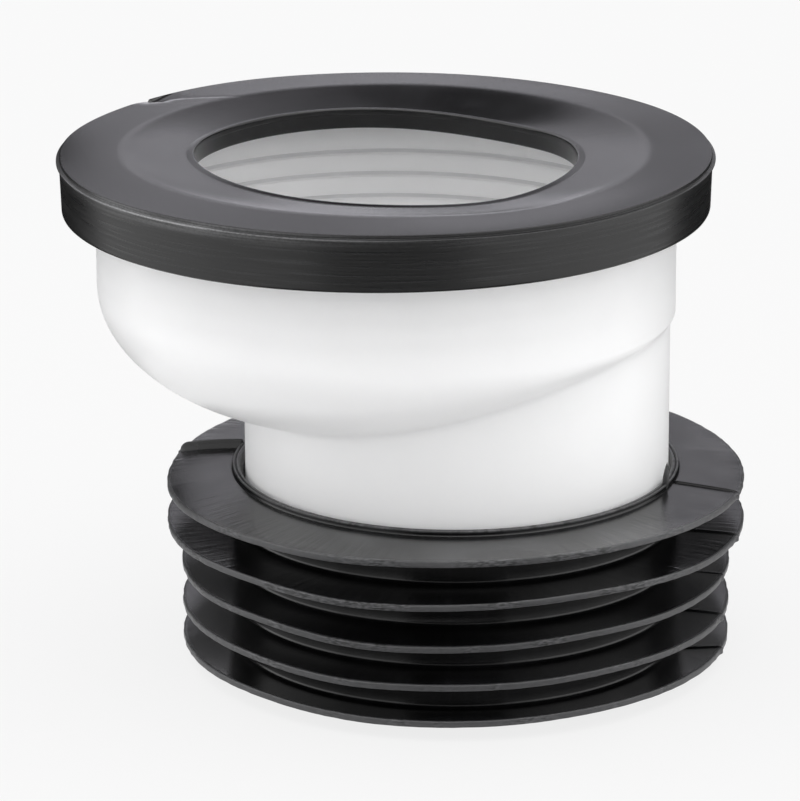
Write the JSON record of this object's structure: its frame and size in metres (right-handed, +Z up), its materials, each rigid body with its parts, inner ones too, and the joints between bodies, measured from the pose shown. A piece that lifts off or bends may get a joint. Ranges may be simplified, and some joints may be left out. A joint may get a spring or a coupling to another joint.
{
  "type": "toilet pan connector",
  "caption": "Offset pan connector: moulded socket with a rubber cap seal, a tilted bowl stepping sideways to a spigot, and a finned rubber sleeve that seals inside a soil pipe.",
  "frame": {"origin": "centre of the outlet spigot's bore, in its end face", "axes": "+Z up along the spigot's axis from the outlet to the inlet, -X towards the side to which the inlet is offset"},
  "size_m": [0.145, 0.1374, 0.1104],
  "materials": {
    "white_plastic": "satin moulded polypropylene",
    "black_rubber": "satin moulded rubber"
  },
  "bodies": {
    "root": {"connector_body": "white_plastic", "inlet_seal": "black_rubber", "outlet_seal": "black_rubber"}
  },
  "joints": []
}
